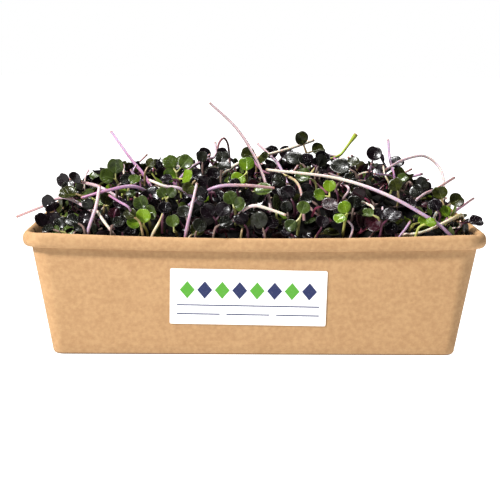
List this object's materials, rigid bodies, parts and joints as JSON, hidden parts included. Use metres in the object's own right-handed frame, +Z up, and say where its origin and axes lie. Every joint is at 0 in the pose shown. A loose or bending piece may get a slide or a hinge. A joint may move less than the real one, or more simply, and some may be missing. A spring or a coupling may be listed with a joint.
{
  "type": "radish microgreens tray",
  "caption": "Rectangular kraft board food tray with a rolled rim, heaped with cut dark purple and green radish microgreens on pink stems.",
  "frame": {"origin": "on the surface that the tray stands on, under the middle of the tray", "axes": "+Z up, X along the tray's long side, the label on the -Y side"},
  "size_m": [0.1808, 0.12, 0.0906],
  "materials": {
    "kraft": "matte unbleached kraft board, fine fibre speckle",
    "kraft_panel": "matte unbleached kraft board",
    "label_paper": "white satin paper sticker",
    "leaf_dark": "glossy fresh leaf, very dark purple",
    "leaf_bright": "glossy fresh leaf, bright",
    "leaf_green": "glossy fresh leaf, green",
    "leaf_maroon": "glossy fresh leaf, maroon",
    "leaf_olive": "glossy fresh leaf, olive",
    "stem_bright": "smooth moist stem, bright",
    "stem_cream": "smooth moist stem, cream",
    "stem_lilac": "smooth moist stem, lilac",
    "stem_magenta": "smooth moist stem, magenta",
    "stem_pink": "smooth moist stem, pink",
    "stem_red": "smooth moist stem, red"
  },
  "bodies": {
    "root": {"tray_wall": "kraft", "tray_base": "kraft_panel", "label": "label_paper", "greens_heap": "leaf_dark", "stem_01": "stem_pink", "stem_02": "stem_pink", "stem_03": "stem_magenta", "stem_04": "stem_pink", "stem_05": "stem_lilac", "stem_06": "stem_pink", "stem_07": "stem_cream", "stem_08": "stem_magenta", "stem_09": "stem_cream", "stem_10": "stem_lilac", "stem_11": "stem_pink", "stem_12": "stem_pink", "stem_13": "stem_red", "stem_14": "stem_cream", "stem_15": "stem_pink", "stem_16": "stem_lilac", "stem_17": "stem_bright", "stem_18": "stem_lilac", "stem_19": "stem_cream", "stem_20": "stem_pink", "stem_21": "stem_pink", "stem_22": "stem_cream", "stem_23": "stem_cream", "stem_24": "stem_pink", "stem_25": "stem_bright", "stem_26": "stem_lilac", "leaf_pair_01": "leaf_green", "leaf_pair_02": "leaf_green", "leaf_pair_03": "leaf_bright", "leaf_pair_04": "leaf_bright", "leaf_pair_05": "leaf_green", "leaf_pair_06": "leaf_green", "leaf_pair_07": "leaf_green", "leaf_pair_08": "leaf_bright", "leaf_pair_09": "leaf_green", "leaf_pair_10": "leaf_olive", "leaf_pair_11": "leaf_olive", "leaf_pair_12": "leaf_bright", "leaf_pair_13": "leaf_bright", "leaf_pair_14": "leaf_green", "leaf_pair_15": "leaf_bright", "leaf_pair_16": "leaf_bright", "leaf_pair_17": "leaf_dark", "leaf_pair_18": "leaf_dark", "leaf_pair_19": "leaf_dark", "leaf_pair_20": "leaf_olive", "leaf_pair_21": "leaf_dark", "leaf_pair_22": "leaf_dark", "leaf_pair_23": "leaf_dark", "leaf_pair_24": "leaf_dark", "leaf_pair_25": "leaf_dark", "leaf_pair_26": "leaf_dark", "leaf_pair_27": "leaf_dark", "leaf_pair_28": "leaf_dark", "leaf_pair_29": "leaf_maroon"}
  },
  "joints": []
}
